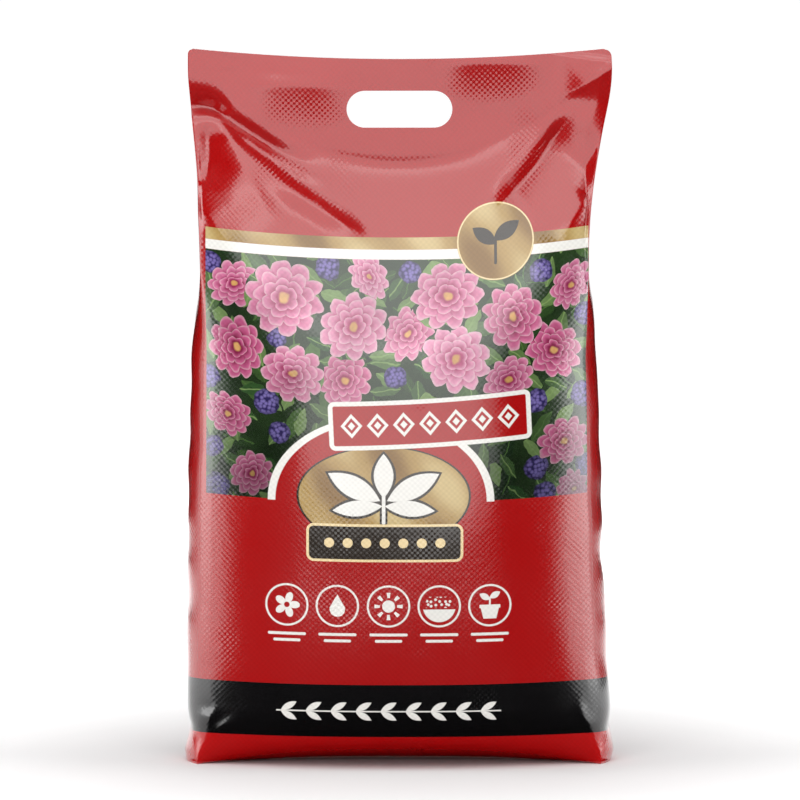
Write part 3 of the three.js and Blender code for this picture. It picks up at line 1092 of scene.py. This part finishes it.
def film_print(p, pictured):
    """Colour of the film at a place on it: with the picture, or with all that is printed clear of it."""
    u, v, _ = split(p)
    # below the band the red is painted lighter, standing in for light on the foot where it turns under
    colour = blend(inside(v - BAND_LOW), RED, FOOT_RED_PAINTED_LIGHT)
    colour = blend(inside(both(v - BAND_HIGH, BAND_LOW - v)), colour, BLACK)
    gold = gold_ink(p)
    left, right, low, high = PICTURE
    beside = calc("ABSOLUTE", u - (left + right) / 2) - (right - left) / 2
    white_top = high + WHITE_BAND
    gold_top = white_top + GOLD_BAND
    if pictured:
        colour = blend(inside(both(beside, both(v - high, low - v))), colour, flower_picture(p))
    colour = blend(inside(both(beside, both(v - white_top, high - v))), colour, WHITE)
    colour = blend(inside(both(beside, both(v - gold_top, white_top - v))), colour, gold)
    colour = print_badge(p, colour, gold)
    colour = print_arch(p, colour)
    colour = print_oval(p, colour, gold)
    colour = print_plate(p, colour)
    if pictured:
        return colour
    colour = print_bar(p, colour)
    colour = print_marks(p, colour, ICON_MARKS, ICONS, ICON_HEIGHT)
    colour = print_back(p, colour)
    return print_band_row(p, colour)


# The woven tape under the film, and where it shows through most.
TAPE = 2.6
WEAVE_HEIGHT = 0.034
PRESSED = [(-92, 610, 40, 17), (90, 636, 42, 14), (116, 582, 16, 34), (-112, 556, 26, 12)]
DRAWN_HEIGHT = 0.05
DRAWN_CELL = 9.0
WORN_CELL = 46.0
ROUGHNESS_LOW, ROUGHNESS_SPAN = 0.17, 0.1
COAT_ROUGHNESS = 0.13
# painted shade: the film's colour is darkened to this where the weave dips
WEAVE_DIP_SHADE = (0.9, 0.9, 0.9, 1)
SHARP_ANGLE = math.radians(50)


def film_material(name, pictured):
    """Glossy printed film over woven tape."""
    material = bpy.data.materials.new(name)
    material.use_nodes = True
    Val.tree = material.node_tree
    shader = material.node_tree.nodes["Principled BSDF"]
    place = material.node_tree.nodes.new("ShaderNodeUVMap")
    place.uv_map = "film"
    p = vec("SCALE", Val(place.outputs[0]), scale=1.0 / MM)
    u, v, _ = split(p)
    weave = calc("MULTIPLY", calc("SINE", u * (math.pi / TAPE)), calc("SINE", v * (math.pi / TAPE)))
    patches = either(*(oval(placed(p, (x, y)), a, b) for x, y, a, b in PRESSED))
    worn = noise(vec("ADD", p, (310, 90, 0)), WORN_CELL)
    pressed = calc("MAXIMUM", ramp(patches, 6.0, -8.0), ramp(worn, 0.58, 0.72) * 0.7)
    height = calc("MULTIPLY", weave, pressed * 2.6 + 0.7) * WEAVE_HEIGHT
    height = noise(p, DRAWN_CELL) * (2 * DRAWN_HEIGHT) + height
    bump = Val.tree.nodes.new("ShaderNodeBump")
    bump.inputs["Strength"].default_value = 1.0
    bump.inputs["Distance"].default_value = MM
    feed(bump.inputs["Height"], height)
    normal = Val(bump.outputs[0])

    # painted shade: the colour is darker where the weave's relief dips
    tape = blend(weave * 0.5 + 0.5, WEAVE_DIP_SHADE, (1, 1, 1, 1))
    feed(shader.inputs["Base Color"], blend(1.0, film_print(p, pictured), tape, how="MULTIPLY"))
    feed(shader.inputs["Roughness"], worn * ROUGHNESS_SPAN + ROUGHNESS_LOW)
    feed(shader.inputs["Normal"], normal)
    feed(shader.inputs["Coat Normal"], normal)
    shader.inputs["Coat Weight"].default_value = 1.0
    shader.inputs["Coat Roughness"].default_value = COAT_ROUGHNESS
    return material


# How far round the picture its own material reaches, so that the two meet on like colours.
PICTURE_MARGIN = 4.0


def in_picture(mesh):
    """1 for each face in or by the picture, else 0: only those faces pay for its many nodes."""
    spots = np.empty(2 * len(mesh.loops), np.float32)
    mesh.uv_layers["film"].data.foreach_get("uv", spots)
    u, v = spots.reshape(-1, 2).T / MM
    left, right, low, high = PICTURE
    off = np.max([left - u, u - right, low - v, v - high], axis=0)
    starts = np.empty(len(mesh.polygons), np.int32)
    mesh.polygons.foreach_get("loop_start", starts)
    return np.logical_or.reduceat(off < PICTURE_MARGIN, starts).astype(np.int32)


bag = build_bag()
punch_hole(bag)
bag.data.materials.clear()
bag.data.materials.append(film_material("printed_film", False))
bag.data.materials.append(film_material("printed_picture", True))
bag.data.polygons.foreach_set("material_index", in_picture(bag.data))
bag.data.shade_smooth()
bag.data.set_sharp_from_angle(angle=SHARP_ANGLE)
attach(bag, "root")
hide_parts("compost_bag")

# The studio, in metres: a round room about the bag, with softboxes and black cards in it.
ROOM_RADIUS = 9.0
ROOM_RISE = 7.0
ROOM_SIDES = 96
FLOOR_PALE = 0.85
GLOW_FROM, GLOW_TO = 0.15, 1.1
WALL_PALE = 0.1
PAPER_ROUGHNESS = 0.9
CARD_BLACK = (0.01, 0.01, 0.01, 1)
WORLD_STRENGTH = 0.07
# Softboxes: name, place, what they face, width, height, radiance, and whether the film mirrors them.
SOFTBOXES = [
    ("front_box", (-0.25, -2.6, 1.0), (-0.25, 0.0, 1.0), 3.0, 2.0, 0.95, True),
    ("upper_box", (0.0, -1.6, 2.5), (0.0, 0.0, 0.5), 2.0, 2.2, 2.25, True),
    ("top_box", (0.0, 0.3, 3.0), (0.0, 0.3, 0.0), 2.0, 1.8, 2.4, True),
    ("front_fill", (-0.25, -2.6, 1.0), (-0.25, 0.0, 1.0), 3.0, 2.0, 0.95, False),
    ("upper_fill", (0.0, -1.6, 2.5), (0.0, 0.0, 0.5), 2.0, 2.2, 0.8, False),
    ("fill_box", (-1.2, -2.2, 0.3), (0.0, 0.0, 0.2), 1.6, 0.6, 3.4, False),
    ("back_box", (0.0, 2.9, 1.5), (0.0, 0.0, 0.5), 2.2, 1.8, 1.6, True),
]
# Pairs to the left and right: azimuth from the front, distance and height of the middle.
STRIP_AZIMUTH, STRIP_DISTANCE, STRIP_HEIGHT = 81.0, 2.32, 1.3
STRIP_AIM = (0.0, 0.0, 0.9)
STRIP_SIZE = (1.36, 2.6)
STRIP_RADIANCE = 2.7
CARD_AZIMUTH, CARD_DISTANCE, CARD_HEIGHT = 48.0, 2.3, 1.4
CARD_HALF = (0.62, 1.4)
REAR_AZIMUTH, REAR_DISTANCE, REAR_HEIGHT = 137.0, 2.4, 1.3
REAR_HALF = (1.3, 1.3)
# The card on the floor: a fan in front of the bag, from under its foot outwards.
FAN_REACH = 3.0
FAN_AZIMUTHS = range(-60, 61, 10)
FAN_FOOT = (0.19, -0.02)
FAN_LIFT = 0.002


def put(name, data):
    piece = bpy.data.objects.new(name, data)
    bpy.context.scene.collection.objects.link(piece)
    return piece


def facing(piece, centre, aim):
    piece.location = centre
    piece.rotation_euler = (Vector(aim) - Vector(centre)).to_track_quat("-Z", "Y").to_euler()


def paper_material(name, pale, glow_from, glow_to):
    """Studio paper that is white to the eye and in reflections, from some way off the bag outwards."""
    material = bpy.data.materials.new(name)
    material.use_nodes = True
    Val.tree = material.node_tree
    shader = material.node_tree.nodes["Principled BSDF"]
    shader.inputs["Base Color"].default_value = (pale, pale, pale, 1)
    shader.inputs["Roughness"].default_value = PAPER_ROUGHNESS
    shader.inputs["Specular IOR Level"].default_value = 0.0
    spot = Val(Val.tree.nodes.new("ShaderNodeNewGeometry").outputs["Position"])
    away = vec("LENGTH", spot)
    path = Val.tree.nodes.new("ShaderNodeLightPath")
    seen = calc("MAXIMUM", Val(path.outputs["Is Camera Ray"]), Val(path.outputs["Is Glossy Ray"]))
    seen = calc("MAXIMUM", seen, Val(path.outputs["Is Transmission Ray"]))
    shader.inputs["Emission Color"].default_value = (1, 1, 1, 1)
    feed(shader.inputs["Emission Strength"], calc("MULTIPLY", seen, ramp(away, glow_from, glow_to)))
    return material


def build_room():
    turns = np.linspace(0, 2 * math.pi, ROOM_SIDES, endpoint=False)
    ring = [(ROOM_RADIUS * math.cos(t), ROOM_RADIUS * math.sin(t)) for t in turns]
    floor = bpy.data.meshes.new("floor")
    floor.from_pydata([(x, y, 0.0) for x, y in ring], [], [list(range(ROOM_SIDES))])
    floor.materials.append(paper_material("floor_paper", FLOOR_PALE, GLOW_FROM, GLOW_TO))
    wall = bpy.data.meshes.new("backdrop")
    corners = [(x, y, z) for z in (0.0, ROOM_RISE) for x, y in ring]
    n = ROOM_SIDES
    wall.from_pydata(corners, [], [(k, (k + 1) % n, n + (k + 1) % n, n + k) for k in range(n)])
    wall.materials.append(paper_material("wall_paper", WALL_PALE, 0.0, 1.0))
    for mesh in (floor, wall):
        put(mesh.name, mesh)


def add_softbox(name, centre, aim, width, height, radiance):
    light = bpy.data.lights.new(name, "AREA")
    light.shape = "RECTANGLE"
    light.size, light.size_y = width, height
    light.energy = radiance * math.pi * width * height
    lamp = put(name, light)
    facing(lamp, centre, aim)
    return lamp


def add_black_card(name, outline):
    """A card at the origin that keeps light off the film's reflections, and that only they meet."""
    mesh = bpy.data.meshes.new(name)
    mesh.from_pydata([(x, y, 0.0) for x, y in outline], [], [list(range(len(outline)))])
    material = bpy.data.materials.new(name)
    material.use_nodes = True
    shader = material.node_tree.nodes["Principled BSDF"]
    shader.inputs["Base Color"].default_value = CARD_BLACK
    shader.inputs["Specular IOR Level"].default_value = 0.0
    mesh.materials.append(material)
    card = put(name, mesh)
    card.visible_camera = False
    card.visible_shadow = False
    card.visible_diffuse = False
    return card


def around(azimuth, distance, height):
    """A place at an azimuth from the front, to the right where it is positive."""
    angle = math.radians(azimuth)
    return (distance * math.sin(angle), -distance * math.cos(angle), height)


def upright(half_x, half_y):
    return [(-half_x, -half_y), (half_x, -half_y), (half_x, half_y), (-half_x, half_y)]


build_room()
for *box, mirrored in SOFTBOXES:
    add_softbox(*box).visible_glossy = mirrored
for side, hand in (("left", -1), ("right", 1)):
    place = around(hand * STRIP_AZIMUTH, STRIP_DISTANCE, STRIP_HEIGHT)
    add_softbox(side + "_strip", place, STRIP_AIM, *STRIP_SIZE, STRIP_RADIANCE)
for side, hand in (("left", -1), ("right", 1)):
    place = around(hand * CARD_AZIMUTH, CARD_DISTANCE, CARD_HEIGHT)
    facing(add_black_card(side + "_card", upright(*CARD_HALF)), place, (0.0, 0.0, CARD_HEIGHT))
for side, hand in (("left", -1), ("right", 1)):
    place = around(hand * REAR_AZIMUTH, REAR_DISTANCE, REAR_HEIGHT)
    facing(add_black_card(side + "_rear_card", upright(*REAR_HALF)), place, (0.0, 0.0, REAR_HEIGHT))
fan = [around(azimuth, FAN_REACH, 0.0)[:2] for azimuth in FAN_AZIMUTHS]
foot_x, foot_y = FAN_FOOT
floor_card = add_black_card("floor_card", [(foot_x, foot_y)] + fan[::-1] + [(-foot_x, foot_y)])
floor_card.location = (0.0, 0.0, FAN_LIFT)

world = bpy.data.worlds.new("studio")
bpy.context.scene.world = world
world.use_nodes = True
background = world.node_tree.nodes["Background"]
background.inputs["Color"].default_value = (1, 1, 1, 1)
background.inputs["Strength"].default_value = WORLD_STRENGTH

# The camera, in metres, and the width of its frame at the bag.
CAMERA_DISTANCE = 6.0
CAMERA_RISE = math.radians(4.0)
FRAME_WIDTH = 0.744
AIM = (0.0005, 0.0, 0.3357)
camera_data = bpy.data.cameras.new("camera")
camera_data.sensor_width = 36.0
camera_data.lens = camera_data.sensor_width * CAMERA_DISTANCE / FRAME_WIDTH
camera_data.clip_end = 50.0
camera = put("camera", camera_data)
camera.location = (
    AIM[0],
    AIM[1] - CAMERA_DISTANCE * math.cos(CAMERA_RISE),
    AIM[2] + CAMERA_DISTANCE * math.sin(CAMERA_RISE),
)
camera.rotation_euler = (math.pi / 2 - CAMERA_RISE, 0.0, 0.0)
bpy.context.scene.camera = camera
bpy.context.scene.view_settings.view_transform = "Standard"
